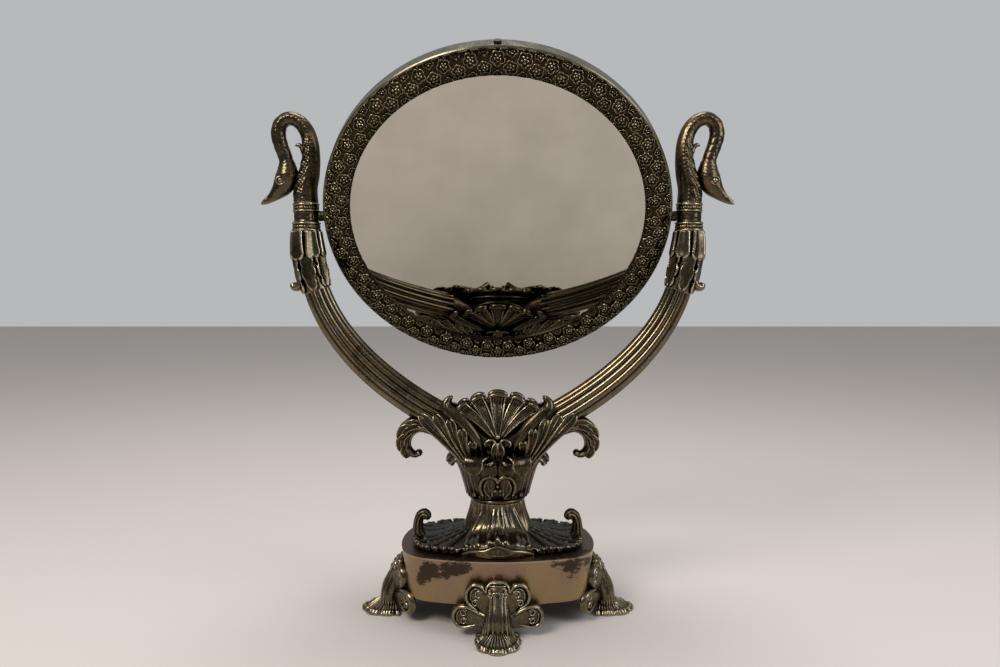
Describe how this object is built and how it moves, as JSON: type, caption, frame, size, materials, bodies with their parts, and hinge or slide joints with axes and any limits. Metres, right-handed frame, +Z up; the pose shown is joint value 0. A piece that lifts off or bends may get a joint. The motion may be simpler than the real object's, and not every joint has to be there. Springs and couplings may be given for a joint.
{
  "type": "swivel vanity mirror",
  "caption": "Free-standing table mirror: a round two-sided glass in a floral frame turns between reeded swan-neck arms on a leafy column and a footed plinth.",
  "frame": {"origin": "on the floor under the middle of the plinth", "axes": "+Z up, the front of the mirror towards -Y, the arms along X"},
  "size_m": [0.3158, 0.1488, 0.3691],
  "materials": {
    "silver_plate": "antique silver plate over cast brass, dark tarnish in the recesses",
    "plinth_plate": "smooth worn silver plate with tarnish patches",
    "hoop_plate": "smooth rolled silver-plated band",
    "mirror_glass": "silvered glass",
    "backing_board": "plain fibreboard",
    "steel_fastener": "dark steel"
  },
  "bodies": {
    "stand": {"plinth": "plinth_plate", "foot_front": "silver_plate", "foot_back": "silver_plate", "foot_left": "silver_plate", "foot_right": "silver_plate", "foot_screws": "steel_fastener", "column": "silver_plate", "waist_ring": "silver_plate", "leaf_cup": "silver_plate", "arm_yoke": "silver_plate", "tie_rod": "steel_fastener", "tie_washer": "steel_fastener", "tie_nut": "steel_fastener", "shell_front": "silver_plate", "shell_back": "silver_plate", "leaf_left": "silver_plate", "leaf_right": "silver_plate", "arm_left": "silver_plate", "arm_right": "silver_plate", "sheath_left": "silver_plate", "sheath_right": "silver_plate", "collar_left": "silver_plate", "collar_right": "silver_plate", "swan_left": "silver_plate", "swan_right": "silver_plate", "scroll_left": "silver_plate", "scroll_right": "silver_plate"},
    "mirror": {"hoop": "hoop_plate", "bezel_front": "silver_plate", "bezel_back": "silver_plate", "glass_front": "mirror_glass", "glass_back": "mirror_glass", "backing_board": "backing_board", "hoop_screw": "steel_fastener", "pivot_pin_left": "steel_fastener", "pivot_pin_right": "steel_fastener", "pivot_nuts": "steel_fastener"}
  },
  "joints": [
    {"name": "mirror_tilt", "type": "hinge", "parent": "stand", "child": "mirror", "pos_m": [0, 0, 0.2686], "axis": [1, 0, 0], "continuous": true}
  ]
}
